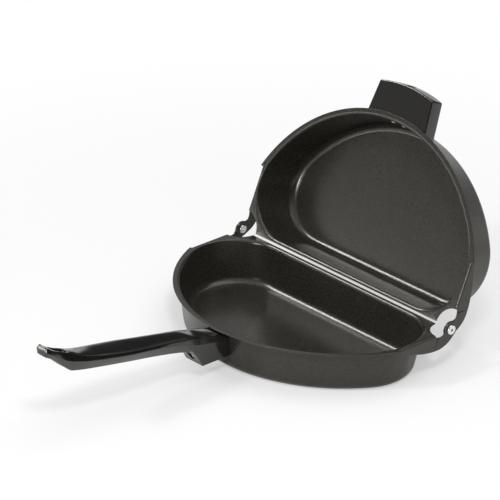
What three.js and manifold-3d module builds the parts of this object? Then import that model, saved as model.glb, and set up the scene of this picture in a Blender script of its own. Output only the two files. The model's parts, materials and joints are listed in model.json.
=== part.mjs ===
// Folding omelette pan: two D-shaped pressed halves hinged along their straight edges,
// a long moulded handle on the lower half and a short moulded grip on the lid.
// Millimetres, +Z up. The origin is the middle of the base, on its underside; +X runs
// along the hinge line and the long handle points towards -Y.

import * as THREE from 'three';
import { mergeVertices } from 'three/addons/utils/BufferGeometryUtils.js';
import Module from 'manifold-3d';

// Stance and fits
const openAngle = 113.7; // degrees between the two rims
const clearance = 0.3; // between pieces that seat on or run past each other
const runningFit = 0.1; // between the hinge rivets and the holes they turn in
const overrun = 2; // how far a cutter passes the face it cuts
const lap = 0.3; // how deep two parts of one pressing or moulding run into each other

// Pressed halves, the same for both apart from the spread of their ears
const sheet = 0.8;
const panDepth = 33.8; // rim to underside of the base
const rimGap = 0.4; // between the closed rims, halved by the hinge line
const rimRadius = 127; // round outer edge of the flange
const rimCentre = 3.3; // centre of the round edge, in front of the hinge line
const flangeWidth = 5.3;
const hingeEdge = 0.9; // hinge line to the cut edge of the flange
const hingeLand = 3.1; // flange between that edge and the straight inner wall
const wellCorner = 37; // corner radius of the D in plan, at the rim
const cornerGrowth = 4; // how much larger it is at the base
const draftAngle = 6.5; // degrees that the walls lean in
const rimBend = 0.5; // inside bend radius under the flange
const floorBend = 6; // inside bend radius at the floor

// Hinge ears, folded down from the flange
const earDepth = 12.7; // deepest point below the rim
const earDeepest = 13; // hinge line to that point
const earEnd = 2.4; // depth left where the fold ends
const earStop = 1.9; // end of the fold, short of the round edge
const earBend = 0.6; // inside radius of the fold
const foldLand = 0.15; // flange kept between well and fold where the pan is widest
const lobeRadius = 6.2; // round end about the pin
const dipDepth = 5; // pull of the hollow between lobe and fold, below the hinge line
const notchRadius = 15.3; // relief in the flange round the pin

// Hinge rivets, tubular, with a rolled rim at each end
const hingeShank = 2.4;
const hingeWall = 1;
const hingeHeadLip = 1.5;
const hingeHeadHeight = 1;
const hingeClinchLip = 1;
const hingeClinchHeight = 0.9;

// Long handle
const handleLength = 164.2; // rim to tip
const handleRise = 41; // tip above the rim
const handleHalf = 12; // half the width at its widest
const handleThickness = 10.2;
const holeHalf = 3.6; // hanging hole, half its width
const holeLength = 15;
const holeFromTip = 7.5;
const blockHalf = 9.75; // mounting block under the root
const blockDepth = 20.5; // its underside below the rim
const blockReach = 19.9; // rim to the front corner of its underside
const blockSlope = 16.8; // from that corner to where its end runs into the handle
const blockShoulder = 2.1; // height of that place above the rim
const handleScrewRise = 7.2; // screw above the underside of the block
const handleScrewSeat = 1.2; // seat of the screw behind the block's front corner

// Lid grip
const gripGap = 1; // between flange and grip
const gripThickness = 12;
const gripLength = 24; // rim to the middle of its crowned end
const gripCrown = 3.7; // drop from there to its corners
const gripRootHalf = 32.4;
const gripEndHalf = 28.4;
const gripEdge = 1; // rounding of its edges
const gripScrewDepth = 4.6; // screw below the grip's inner face
const gripScrewSeat = 4.7; // seat of the screw below the end

// Brackets, a curved foot on the pan wall with a square tongue for the screw
const footThickness = 1.5;
const handleFootHeight = 10.4;
const gripFootHeight = 7.2;
const tongueWall = 1.1; // round the screw
const tongueLength = 15; // from the pan wall
const rivetMargin = 0.5; // foot round a rivet head
const rivetShank = 1.4;
const rivetHead = 2.1;
const rivetHeadHeight = 0.8;

// Fixing screws
const screwShank = 1.9;
const screwHead = 3.2;
const screwHeadHeight = 2.4;
const screwEntry = 9; // length held by the tongue
const slotWidth = 1;
const slotDepth = 1.1;

// Faces per curve
const arcSteps = 40;
const cornerSteps = 10;
const bendSteps = 3;
const floorSteps = 4;
const roundSteps = 24;
const coneSteps = 160;

// Sizes that follow from the ones above
const tanDraft = Math.tan(THREE.MathUtils.degToRad(draftAngle));
const cosDraft = Math.cos(THREE.MathUtils.degToRad(draftAngle));
const wallSkin = sheet / cosDraft; // the sheet measured level through the leaning wall
const rimLevel = -rimGap / 2; // rim below the hinge line
const rimFront = rimCentre + rimRadius;
const wellRadius = rimRadius - flangeWidth;
const wellEdge = hingeEdge + hingeLand;
const wallFoot = rimCentre + wellRadius - panDepth * tanDraft; // front wall at the base
const hingeSetback = (wellEdge + rimCentre + wellRadius) / 2; // middle of the base to the hinge line
const foldInset = earBend + sheet; // flange edge at the fold to the outer face of the ear
const widest = cornerCentre(wellCorner).x + wellCorner; // the well's half width at the rim
const lidEarSpread = widest + rimBend + sheet - lap + foldLand + foldInset;
const earSpread = lidEarSpread + clearance + sheet; // the lower half's ears lie outside the lid's
const earLength = rimCentre + Math.sqrt(rimRadius ** 2 - earSpread ** 2) - earStop;
const handleScrewDrop = blockDepth - handleScrewRise;
const handleScrewOut = rimFront + blockReach - handleScrewSeat;
const gripDrop = sheet + gripGap;
const gripScrewDrop = gripDrop + gripScrewDepth;
const gripScrewOut = rimFront + gripLength - gripScrewSeat;
const tongueHalf = screwShank + tongueWall;
const rivetSpread = tongueHalf + rivetHead + rivetMargin;
const footHalf = rivetSpread + rivetHead + rivetMargin;
const recessRadius = screwHead + 2 * clearance; // counterbore over the screw head

const wasm = await Module();
wasm.setup();

// Turns a closed three.js geometry into a solid for joining and cutting
function solid(geometry) {
  const bare = geometry.clone();
  bare.deleteAttribute('normal');
  bare.deleteAttribute('uv');
  const merged = mergeVertices(bare);
  return new wasm.Manifold(new wasm.Mesh({
    numProp: 3,
    vertProperties: new Float32Array(merged.attributes.position.array),
    triVerts: new Uint32Array(merged.index.array),
  }));
}

// Turns a finished solid back into a geometry
function shell(body) {
  const { vertProperties, triVerts, numProp } = body.getMesh();
  const geometry = new THREE.BufferGeometry();
  const positions = new Float32Array(vertProperties.length / numProp * 3);
  for (let i = 0; i < positions.length; i += 1) {
    positions[i] = vertProperties[Math.floor(i / 3) * numProp + i % 3];
  }
  geometry.setAttribute('position', new THREE.BufferAttribute(positions, 3));
  geometry.setIndex(new THREE.BufferAttribute(new Uint32Array(triVerts), 1));
  geometry.computeVertexNormals();
  return geometry;
}

// A point of a half: across the pan, out from the hinge line, down from the rim
const place = (across, out, down) => new THREE.Vector3(across, -out, rimLevel - down);

// Closes a run of equal rings into one skin, with a fan over each end
function loft(rings) {
  const count = rings[0].length;
  const points = rings.flat();
  const index = [];
  for (let r = 0; r + 1 < rings.length; r += 1) {
    for (let i = 0; i < count; i += 1) {
      const a = r * count + i;
      const b = r * count + (i + 1) % count;
      index.push(a, b, b + count, a, b + count, a + count);
    }
  }
  for (const [start, flip] of [[0, true], [(rings.length - 1) * count, false]]) {
    const middle = new THREE.Vector3();
    for (let i = 0; i < count; i += 1) middle.add(points[start + i]);
    points.push(middle.divideScalar(count));
    const hub = points.length - 1;
    for (let i = 0; i < count; i += 1) {
      const a = start + i;
      const b = start + (i + 1) % count;
      index.push(...(flip ? [hub, b, a] : [hub, a, b]));
    }
  }
  const geometry = new THREE.BufferGeometry().setFromPoints(points);
  geometry.setIndex(insideOut(points, index) ? index.reverse() : index);
  return geometry;
}

// True where the skin's faces point inwards
function insideOut(points, index) {
  let volume = 0;
  for (let i = 0; i < index.length; i += 3) {
    const [a, b, c] = [points[index[i]], points[index[i + 1]], points[index[i + 2]]];
    volume += a.dot(new THREE.Vector3().crossVectors(b, c));
  }
  return volume < 0;
}

// Rounds the inner corners of an open line; each corner has its own radius and steps
function roundLine(corners) {
  const line = [];
  corners.forEach(({ at, radius, steps }, i) => {
    if (!radius) {
      line.push(at);
      return;
    }
    const back = corners[i - 1].at.clone().sub(at).normalize();
    const ahead = corners[i + 1].at.clone().sub(at).normalize();
    const half = back.angleTo(ahead) / 2;
    const middle = back.clone().add(ahead).normalize();
    const centre = at.clone().add(middle.multiplyScalar(radius / Math.sin(half)));
    const from = at.clone().add(back.multiplyScalar(radius / Math.tan(half))).sub(centre);
    const to = at.clone().add(ahead.multiplyScalar(radius / Math.tan(half))).sub(centre);
    const sweep = Math.atan2(from.cross(to), from.dot(to));
    for (let s = 0; s <= steps; s += 1) {
      line.push(from.clone().rotateAround(new THREE.Vector2(), sweep * s / steps).add(centre));
    }
  });
  return line;
}

// Centre of a D corner that touches the straight edge and the round arc, across and out
function cornerCentre(radius) {
  const out = wellEdge + radius;
  return new THREE.Vector2(Math.sqrt((wellRadius - radius) ** 2 - (out - rimCentre) ** 2), out);
}

// D outline of the well at a depth, drawn in by an inset: round arc, two corners, straight edge
function wellOutline(inset, down = 0) {
  const corner = wellCorner + cornerGrowth * down / panDepth;
  const centre = cornerCentre(corner);
  const join = Math.atan2(centre.y - rimCentre, centre.x);
  const points = [];
  const arc = (across, out, radius, from, to, steps) => {
    for (let s = 0; s < steps; s += 1) {
      const angle = from + (to - from) * s / steps;
      points.push(new THREE.Vector2(across + radius * Math.cos(angle), out + radius * Math.sin(angle)));
    }
  };
  arc(0, rimCentre, wellRadius - inset, join, Math.PI - join, arcSteps);
  arc(-centre.x, centre.y, corner - inset, Math.PI - join, Math.PI * 1.5, cornerSteps);
  points.push(new THREE.Vector2(-centre.x, wellEdge + inset));
  arc(centre.x, centre.y, corner - inset, -Math.PI / 2, join, cornerSteps);
  return points;
}

// The well as one skin: over the floor, up the wall, round the rim and down the outside
function well() {
  const corner = (inset, down, radius, steps) => ({ at: new THREE.Vector2(inset, down), radius, steps });
  const lip = -(rimBend + sheet); // how far the bent rim reaches outside the wall
  const floor = panDepth - sheet;
  const flat = wellEdge + floorBend + panDepth * tanDraft; // inset at which the skin is on the level base
  const inner = roundLine([
    corner(flat, floor),
    corner(floor * tanDraft, floor, floorBend, floorSteps),
    corner(0, 0, rimBend + sheet, bendSteps),
    corner(lip, 0),
  ]);
  const outer = roundLine([
    corner(lip, sheet),
    corner(sheet * tanDraft - wallSkin, sheet, rimBend, bendSteps),
    corner(panDepth * tanDraft - wallSkin, panDepth, floorBend + sheet, floorSteps),
    corner(flat, panDepth),
  ]);
  return loft([...inner, ...outer].map(({ x: inset, y: down }) => (
    wellOutline(inset, down).map((p) => place(p.x, p.y, down)))));
}

// Plan outline in across and out, turned to X and Y, still counterclockwise
const planPoints = (points) => points.map((p) => new THREE.Vector2(p.x, -p.y)).reverse();

// Flat flange: round outside, straight at the folds, notched round both hinge pins
function flange(spread) {
  const notchStart = Math.PI - Math.asin(hingeEdge / notchRadius);
  const notchEnd = Math.PI / 2 + Math.asin(foldInset / notchRadius);
  const right = [];
  for (let s = 0; s <= cornerSteps; s += 1) {
    const angle = notchStart + (notchEnd - notchStart) * s / cornerSteps;
    right.push(new THREE.Vector2(spread + notchRadius * Math.cos(angle), notchRadius * Math.sin(angle)));
  }
  right.push(new THREE.Vector2(spread - foldInset, earLength));
  const rimStart = Math.asin((earLength - rimCentre) / rimRadius);
  for (let s = 0; s < arcSteps; s += 1) {
    const angle = rimStart + (Math.PI / 2 - rimStart) * s / arcSteps;
    right.push(new THREE.Vector2(rimRadius * Math.cos(angle), rimCentre + rimRadius * Math.sin(angle)));
  }
  const left = right.map((p) => new THREE.Vector2(-p.x, p.y)).reverse();
  const front = new THREE.Vector2(0, rimFront);
  const shape = new THREE.Shape(planPoints([...right, front, ...left]));
  shape.holes.push(new THREE.Path(planPoints(wellOutline(lap - rimBend - sheet))));
  const plate = new THREE.ExtrudeGeometry(shape, { depth: sheet, bevelEnabled: false });
  return plate.translate(0, 0, rimLevel - sheet);
}

// Stands a shape drawn from the side upright: its x runs along Y, its y along Z, its depth along X
function fromSide(shape, depth, start, options = {}) {
  const across = new THREE.ExtrudeGeometry(shape, { depth, bevelEnabled: false, ...options });
  across.applyMatrix4(new THREE.Matrix4().makeBasis(
    new THREE.Vector3(0, 1, 0), new THREE.Vector3(0, 0, 1), new THREE.Vector3(1, 0, 0)));
  return across.translate(start, 0, 0);
}

// Curve of an ear's underside, as shares of the ear's sizes
const earCurveShares = {
  fallAlong: 0.77, fallDepth: 0.61, bottomAlong: 2, riseAlong: 0.4, riseBack: 0.1, riseDepth: 1.3,
};
const dipShare = 1.25; // where the hollow pulls, from the pin, in lobe radii

// An ear seen from the side: lobe round the pin, hollow, level under the fold, long curved underside
function ear(start) {
  const foldLevel = rimLevel - foldInset + lap;
  const low = rimLevel - earDepth;
  const lobeFrom = THREE.MathUtils.degToRad(-62);
  const lobeTo = THREE.MathUtils.degToRad(175);
  const { fallAlong, fallDepth, bottomAlong, riseAlong, riseBack, riseDepth } = earCurveShares;
  const shape = new THREE.Shape();
  shape.moveTo(-earLength, foldLevel);
  shape.lineTo(-earLength, rimLevel - earEnd);
  shape.bezierCurveTo(
    -earLength * fallAlong, rimLevel - earDepth * fallDepth,
    -earDeepest * bottomAlong, low,
    -earDeepest, low);
  shape.bezierCurveTo(
    -earDeepest * riseAlong, low,
    lobeRadius * riseBack, -lobeRadius * riseDepth,
    lobeRadius * Math.cos(lobeFrom), lobeRadius * Math.sin(lobeFrom));
  shape.absarc(0, 0, lobeRadius, lobeFrom, lobeTo, false);
  shape.quadraticCurveTo(-lobeRadius * dipShare, -dipDepth, -notchRadius, foldLevel);
  const pin = new THREE.Path();
  pin.absarc(0, 0, hingeShank + runningFit, 0, Math.PI * 2, true);
  shape.holes.push(pin);
  return fromSide(shape, sheet, start, { curveSegments: cornerSteps });
}

// The fold between flange and ear, a quarter bend running along the side of the pan
function foldBend(spread) {
  const shape = new THREE.Shape();
  shape.moveTo(-lap, foldInset);
  shape.lineTo(0, foldInset);
  shape.absarc(0, 0, foldInset, Math.PI / 2, 0, true);
  shape.lineTo(foldInset, -lap);
  shape.lineTo(earBend, -lap);
  shape.lineTo(earBend, 0);
  shape.absarc(0, 0, earBend, 0, Math.PI / 2, false);
  shape.lineTo(-lap, earBend);
  const bend = new THREE.ExtrudeGeometry(shape, {
    depth: earLength - notchRadius, bevelEnabled: false, curveSegments: bendSteps,
  });
  bend.rotateX(Math.PI / 2);
  return bend.translate(spread - foldInset, -notchRadius, rimLevel - foldInset);
}

// One pressed half with its ears, and holes for the bracket rivets where its bracket sits
function pressing(spread, fixingDrop) {
  const rightBend = foldBend(spread);
  const leftBend = rightBend.clone().rotateZ(Math.PI).translate(0, -(earLength + notchRadius), 0);
  let body = solid(well());
  for (const part of [flange(spread), ear(spread - sheet), ear(-spread), rightBend, leftBend]) {
    body = body.add(solid(part));
  }
  for (const side of [1, -1]) body = body.subtract(solid(rivetHole(side, fixingDrop)));
  return shell(body);
}

// Where a bracket rivet crosses the outer face of the wall, and the way it points
function rivetSpot(side, drop) {
  const radius = wellRadius + wallSkin - drop * tanDraft;
  const turn = side * Math.asin(rivetSpread / radius);
  const across = radius * Math.sin(turn);
  const out = rimCentre + radius * Math.cos(turn);
  const sin = Math.sqrt(1 - cosDraft ** 2);
  const outward = new THREE.Vector3(Math.sin(turn) * cosDraft, -Math.cos(turn) * cosDraft, -sin);
  return { spot: place(across, out, drop), outward };
}

// Lays a piece turned about Y along a rivet's line
function alongRivet(geometry, side, drop) {
  const { spot, outward } = rivetSpot(side, drop);
  const turn = new THREE.Quaternion().setFromUnitVectors(new THREE.Vector3(0, 1, 0), outward);
  return geometry.applyQuaternion(turn).translate(spot.x, spot.y, spot.z);
}

// Cutter for a rivet through wall and foot
function rivetHole(side, drop) {
  const radius = rivetShank + clearance;
  const length = 2 * (sheet + footThickness + overrun);
  return alongRivet(new THREE.CylinderGeometry(radius, radius, length, roundSteps / 2), side, drop);
}

// Profile points of a rounded head, from its edge to the axis
function dome(radius, face, height) {
  const points = [];
  for (let s = 0; s < bendSteps; s += 1) {
    const angle = Math.PI / 2 * s / bendSteps;
    points.push([radius * Math.cos(angle), face + height * Math.sin(angle)]);
  }
  return [...points, [0, face + height]];
}

// A bracket rivet: low head inside the pan, shank through wall and foot, spread tail outside
function bracketRivet(side, drop) {
  const headFace = -(sheet + clearance);
  const tailFace = footThickness + 2 * clearance;
  return alongRivet(turned([
    ...dome(rivetHead, headFace, -rivetHeadHeight).reverse(),
    [rivetShank, headFace],
    [rivetShank, tailFace],
    ...dome(rivetHead, tailFace, rivetHeadHeight),
  ], roundSteps / 2), side, drop);
}

// Spins a profile about Y into a closed skin, whichever way round the profile runs
function turned(profile, steps = roundSteps) {
  const geometry = new THREE.LatheGeometry(profile.map(([r, y]) => new THREE.Vector2(r, y)), steps);
  geometry.deleteAttribute('normal');
  geometry.deleteAttribute('uv');
  const merged = mergeVertices(geometry);
  const points = [];
  for (let i = 0; i < merged.attributes.position.count; i += 1) {
    points.push(new THREE.Vector3().fromBufferAttribute(merged.attributes.position, i));
  }
  const index = [];
  const source = merged.index.array;
  for (let i = 0; i < source.length; i += 3) {
    const [a, b, c] = [source[i], source[i + 1], source[i + 2]];
    if (a !== b && b !== c && c !== a) index.push(a, b, c);
  }
  const skin = new THREE.BufferGeometry().setFromPoints(points);
  skin.setIndex(insideOut(points, index) ? index.reverse() : index);
  return skin;
}

// Everything inside the pan's outer wall, grown by a margin
function insideWall(margin) {
  const top = wellRadius + wallSkin + (overrun + rimGap) * tanDraft + margin;
  const height = panDepth + 2 * overrun;
  const cone = new THREE.CylinderGeometry(top, top - height * tanDraft, height, coneSteps);
  cone.rotateX(Math.PI / 2);
  return solid(cone.translate(0, -rimCentre, overrun + rimGap + rimLevel - height / 2));
}

// Everything over the underside of the flange, out to its edge and a little beyond
function overFlange() {
  const reach = rimRadius + clearance;
  const disc = new THREE.CylinderGeometry(reach, reach, panDepth, coneSteps);
  disc.rotateX(Math.PI / 2);
  return solid(disc.translate(0, -rimCentre, rimLevel - sheet - clearance + panDepth / 2));
}

// A block between two distances from the hinge line, centred on a drop below the rim
function bar(half, from, to, drop, height, grow = 0) {
  const box = new THREE.BoxGeometry(2 * (half + grow), to - from, height + 2 * grow);
  return solid(box.translate(0, -(from + to) / 2, rimLevel - drop));
}

// A round cutter or pin running out from the hinge line at a drop below the rim
function rod(radius, from, to, drop) {
  const pin = new THREE.CylinderGeometry(radius, radius, to - from, roundSteps);
  return solid(pin.translate(0, -(from + to) / 2, rimLevel - drop));
}

const wallOut = (drop) => rimCentre + wellRadius + wallSkin - drop * tanDraft;

// Steel bracket: a foot curved to the wall, with a tongue that the screw draws on
function bracket(drop, footHeight) {
  const tip = wallOut(drop) + tongueLength;
  const root = wallOut(drop) - wallSkin;
  const foot = bar(footHalf, root - tongueLength, tip, drop, footHeight)
    .intersect(insideWall(clearance + footThickness));
  let body = foot.add(bar(tongueHalf, root, tip, drop, 2 * tongueHalf))
    .subtract(insideWall(clearance))
    .subtract(rod(screwShank + clearance, tip - screwEntry - clearance, tip + overrun, drop));
  for (const side of [1, -1]) body = body.subtract(solid(rivetHole(side, drop)));
  return shell(body);
}

// What a moulding gives up for its bracket and screw: pocket, screw hole and counterbore
function fixingRoom(drop, footHeight, seat, depth) {
  const wall = wallOut(drop);
  const footRoom = footThickness + rivetHeadHeight + 3 * clearance;
  const root = wall - wallSkin - footRoom;
  return bar(footHalf, root, wall + footRoom, drop, footHeight, clearance)
    .add(bar(tongueHalf, root, wall + tongueLength + clearance, drop, 2 * tongueHalf, clearance))
    .add(rod(screwShank + clearance, wall, seat + clearance, drop))
    .add(rod(recessRadius, seat, seat + depth + overrun, drop));
}

// Slotted fixing screw, its head at the seat in the moulding and its end in the tongue
function screw(drop, seat) {
  const under = seat + clearance;
  const shoulder = under + screwHeadHeight / 2;
  const end = wallOut(drop) + tongueLength - screwEntry;
  const body = turned([
    [0, -end],
    [screwShank, -end],
    [screwShank, -under],
    [screwHead, -under],
    ...dome(screwHead, -shoulder, -screwHeadHeight / 2),
  ]).translate(0, 0, rimLevel - drop);
  const slot = new THREE.BoxGeometry(2 * (screwHead + overrun), 2 * slotDepth, slotWidth);
  slot.translate(0, -(under + screwHeadHeight), rimLevel - drop);
  return shell(solid(body).subtract(solid(slot)));
}

// Handle stations from the root to the tip, all as shares of the handle's own sizes:
// distance along, height of the top, half width, thickness, and drop to the side ridge
const stationShares = [
  [0.000, -0.075, 0.80, 1.20, 0.40],
  [0.062, -0.037, 0.80, 1.24, 0.40],
  [0.102, 0.008, 0.80, 1.26, 0.42],
  [0.147, 0.057, 0.80, 1.28, 0.44],
  [0.187, 0.092, 0.80, 1.28, 0.46],
  [0.233, 0.147, 0.81, 1.27, 0.46],
  [0.290, 0.194, 0.82, 1.17, 0.38],
  [0.347, 0.237, 0.84, 1.10, 0.31],
  [0.461, 0.322, 0.92, 1.02, 0.27],
  [0.575, 0.412, 1.00, 1.00, 0.29],
  [0.689, 0.512, 0.93, 1.07, 0.33],
  [0.746, 0.566, 0.86, 1.13, 0.35],
  [0.803, 0.634, 0.77, 1.25, 0.38],
  [0.843, 0.698, 0.67, 1.38, 0.40],
  [0.863, 0.731, 0.63, 1.42, 0.42],
  [0.883, 0.765, 0.61, 1.31, 0.46],
  [0.917, 0.824, 0.60, 1.03, 0.50],
  [0.954, 0.905, 0.59, 0.78, 0.50],
  [0.977, 0.960, 0.56, 0.67, 0.50],
  [0.993, 0.993, 0.50, 0.57, 0.50],
  [1.000, 1.000, 0.42, 0.43, 0.50],
];

// Half of the handle's section, from the middle of its top round to the middle of its underside:
// share of the half width, share of the thickness, and how much of the ridge drop it takes
const sectionShares = [
  [0.00, 0.00, 0],
  [0.60, 0.01, 0],
  [0.90, 0.05, 0],
  [1.00, 0.14, 0],
  [1.06, 0.00, 1],
  [0.76, 0.88, 0],
  [0.70, 0.96, 0],
  [0.58, 1.00, 0],
  [0.00, 1.00, 0],
];

// The handle's lever as a loft of sections standing square to the hinge plane
function lever() {
  const root = wallFoot - overrun;
  return loft(stationShares.map(([along, top, half, thick, ridge]) => {
    const out = root + (rimFront + handleLength - root) * along;
    const level = handleRise * top;
    const rightSide = sectionShares.map(([width, drop, ridged]) => place(
      width * half * handleHalf, out, -level + (drop + ridged * ridge) * thick * handleThickness));
    const leftSide = rightSide.slice(1, -1).reverse().map((p) => p.clone().setX(-p.x));
    return [...rightSide, ...leftSide];
  }));
}

// Curve of the block's end and the height of its top inside the lever, as shares
const blockEndShares = { along: 0.32, depth: 0.42 };
const blockTopShares = { front: 0.08, root: 0.14 };

// Mounting block from the side: level underside, hollow sloping end, top inside the lever
function mountingBlock() {
  const root = wallFoot - overrun;
  const corner = rimFront + blockReach;
  const shape = new THREE.Shape();
  shape.moveTo(-root, rimLevel - blockDepth);
  shape.lineTo(-corner, rimLevel - blockDepth);
  shape.quadraticCurveTo(
    -(corner + blockSlope * blockEndShares.along), rimLevel - blockDepth * blockEndShares.depth,
    -(corner + blockSlope), rimLevel + blockShoulder);
  shape.lineTo(-(root + corner) / 2, rimLevel - handleRise * blockTopShares.front);
  shape.lineTo(-root, rimLevel - handleRise * blockTopShares.root);
  return fromSide(shape, 2 * blockHalf, -blockHalf, { curveSegments: cornerSteps });
}

// Long handle: lever and block in one moulding, with its hanging hole and its fixing
function handle() {
  const far = rimFront + handleLength - holeFromTip;
  const slot = new THREE.Shape();
  slot.absarc(0, holeHalf - far, holeHalf, Math.PI, Math.PI * 2, false);
  slot.absarc(0, holeLength - holeHalf - far, holeHalf, 0, Math.PI, false);
  const hole = new THREE.ExtrudeGeometry(slot, {
    depth: handleRise + overrun, bevelEnabled: false, curveSegments: cornerSteps,
  });
  return shell(solid(lever())
    .add(solid(mountingBlock()))
    .subtract(solid(hole))
    .subtract(insideWall(clearance))
    .subtract(overFlange())
    .subtract(fixingRoom(handleScrewDrop, handleFootHeight, handleScrewOut, blockSlope)));
}

// Lid grip: a crowned slab with rounded edges, wider at its root
function grip() {
  const wallAtSide = rimCentre + Math.sqrt(wellRadius ** 2 - gripRootHalf ** 2);
  const root = wallAtSide - gripThickness * tanDraft - overrun;
  const end = rimFront + gripLength - gripEdge;
  const shoulder = end - gripCrown;
  const shape = new THREE.Shape();
  shape.moveTo(gripEdge - gripRootHalf, -root);
  shape.lineTo(gripRootHalf - gripEdge, -root);
  shape.lineTo(gripEndHalf - gripEdge, -shoulder);
  shape.quadraticCurveTo(0, -(end + gripCrown), gripEdge - gripEndHalf, -shoulder);
  const slab = new THREE.ExtrudeGeometry(shape, {
    depth: gripThickness - 2 * gripEdge,
    bevelSize: gripEdge,
    bevelThickness: gripEdge,
    bevelSegments: bendSteps,
    curveSegments: cornerSteps,
  });
  slab.translate(0, 0, rimLevel - gripDrop - gripThickness + gripEdge);
  return shell(solid(slab)
    .subtract(insideWall(clearance))
    .subtract(fixingRoom(gripScrewDrop, gripFootHeight, gripScrewOut, gripScrewSeat)));
}

// Tubular hinge rivet, turned about X: head outside the lower half's ear, rolled end inside the lid's
function hingeRivet(side) {
  const bore = hingeShank - hingeWall;
  const headFace = earSpread + clearance;
  const endFace = lidEarSpread - sheet - clearance;
  const rolled = (lip, face, height) => {
    const reach = (hingeWall + lip) / 2;
    const points = [];
    for (let s = 0; s <= 2 * bendSteps; s += 1) {
      const angle = Math.PI * s / (2 * bendSteps);
      points.push([bore + reach + reach * Math.cos(angle), face + height * Math.sin(angle)]);
    }
    return points;
  };
  const profile = [
    ...rolled(hingeClinchLip, endFace, -hingeClinchHeight).reverse(),
    [hingeShank, endFace],
    [hingeShank, headFace],
    ...rolled(hingeHeadLip, headFace, hingeHeadHeight),
  ];
  return turned([...profile, profile[0]]).rotateZ(-side * Math.PI / 2);
}

// Finishes
const coating = new THREE.MeshStandardMaterial({ color: 0x3a3935, roughness: 0.45, metalness: 0.3 });
const phenolic = new THREE.MeshStandardMaterial({ color: 0x141413, roughness: 0.2, metalness: 0 });
const brightSteel = new THREE.MeshStandardMaterial({ color: 0xc9c9c6, roughness: 0.25, metalness: 1 });
const plainSteel = new THREE.MeshStandardMaterial({ color: 0x8f9092, roughness: 0.4, metalness: 1 });

function piece(name, geometry, material) {
  const mesh = new THREE.Mesh(geometry, material);
  mesh.name = name;
  return mesh;
}

// Lower half: stands on the table and carries the long handle and both hinge rivets
const lower = new THREE.Group();
lower.position.set(0, hingeSetback, panDepth + rimGap / 2);
lower.add(piece('lower_pan', pressing(earSpread, handleScrewDrop), coating));
lower.add(piece('main_handle', handle(), phenolic));
lower.add(piece('handle_bracket', bracket(handleScrewDrop, handleFootHeight), plainSteel));
lower.add(piece('handle_screw', screw(handleScrewDrop, handleScrewOut), brightSteel));
lower.add(piece('handle_rivet_right', bracketRivet(1, handleScrewDrop), brightSteel));
lower.add(piece('handle_rivet_left', bracketRivet(-1, handleScrewDrop), brightSteel));
lower.add(piece('hinge_rivet_right', hingeRivet(1), brightSteel));
lower.add(piece('hinge_rivet_left', hingeRivet(-1), brightSteel));

// Lid: the same pressing turned over on the hinge line and swung open
const lid = new THREE.Group();
lid.position.copy(lower.position);
lid.rotation.x = -THREE.MathUtils.degToRad(openAngle);
const turnedOver = new THREE.Group();
turnedOver.rotation.y = Math.PI;
turnedOver.add(piece('upper_pan', pressing(lidEarSpread, gripScrewDrop), coating));
turnedOver.add(piece('lid_grip', grip(), phenolic));
turnedOver.add(piece('grip_bracket', bracket(gripScrewDrop, gripFootHeight), plainSteel));
turnedOver.add(piece('grip_screw', screw(gripScrewDrop, gripScrewOut), brightSteel));
turnedOver.add(piece('grip_rivet_right', bracketRivet(-1, gripScrewDrop), brightSteel));
turnedOver.add(piece('grip_rivet_left', bracketRivet(1, gripScrewDrop), brightSteel));
lid.add(turnedOver);

const pan = new THREE.Group();
pan.add(lower, lid);

export default pan;
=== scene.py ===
import json
import math

import bmesh
import bpy
from mathutils import Matrix, Vector


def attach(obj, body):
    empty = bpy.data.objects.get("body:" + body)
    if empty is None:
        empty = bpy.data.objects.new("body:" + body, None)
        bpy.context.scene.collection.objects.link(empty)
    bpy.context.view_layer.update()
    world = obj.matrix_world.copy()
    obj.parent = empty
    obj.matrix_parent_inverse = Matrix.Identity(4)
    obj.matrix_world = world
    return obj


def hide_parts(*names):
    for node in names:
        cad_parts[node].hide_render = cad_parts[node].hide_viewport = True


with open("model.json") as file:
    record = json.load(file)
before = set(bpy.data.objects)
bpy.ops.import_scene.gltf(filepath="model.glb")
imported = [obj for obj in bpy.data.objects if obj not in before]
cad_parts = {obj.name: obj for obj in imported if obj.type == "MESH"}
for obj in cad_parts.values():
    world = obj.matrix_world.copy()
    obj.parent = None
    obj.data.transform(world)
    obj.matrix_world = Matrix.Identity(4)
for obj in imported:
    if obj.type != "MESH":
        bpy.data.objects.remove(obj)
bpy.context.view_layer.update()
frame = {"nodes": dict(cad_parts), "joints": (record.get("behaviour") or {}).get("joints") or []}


# The two halves of the pan. Each is one sheet of steel, drawn to a D-shaped well with a flat
# flange, then trimmed, with a hinge ear folded down from the flange at both ends of its
# straight edge. A baked, finely speckled dark grey non-stick coating covers both sides.
SHEET = 0.8
PAN_DEPTH = 33.8
RIM_GAP = 0.4
RIM_RADIUS = 127
RIM_CENTRE = 3.3
WELL_RADIUS = 121.7
WELL_EDGE = 4
WELL_CORNER = 37
CORNER_GROWTH = 4
DRAFT = math.tan(math.radians(6.5))
FLOOR_BEND = 6
RIM_BEND = 2.5
EAR_RIM_BEND = 0.9
EAR_ZONE_FROM = 103
EAR_ZONE_WIDTH = 7
BROKEN_EDGE = 0.16
HINGE_EDGE = 0.9
NOTCH_RADIUS = 15.3
EAR_BEND = 0.6
EAR_DEPTH = 12.7
EAR_DEEPEST = 13
EAR_LENGTH = 51.96
EAR_END = 2.4
LOBE_RADIUS = 6.2
LOBE_FROM = math.radians(5)
LOBE_SWEEP = math.radians(237)
DIP_DEPTH = 5
DIP_SHARE = 1.25
EAR_CURVE_SHARES = {"fall_along": 0.77, "fall_depth": 0.61, "bottom_along": 2,
                    "rise_along": 0.4, "rise_back": 0.1, "rise_depth": 1.3}
PIN_HOLE = 2.5
EAR_SPREAD = {"lower": 116.5, "lid": 115.4}
FOLD_INSET = EAR_BEND + SHEET
RIM_LEVEL = -RIM_GAP / 2
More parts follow.
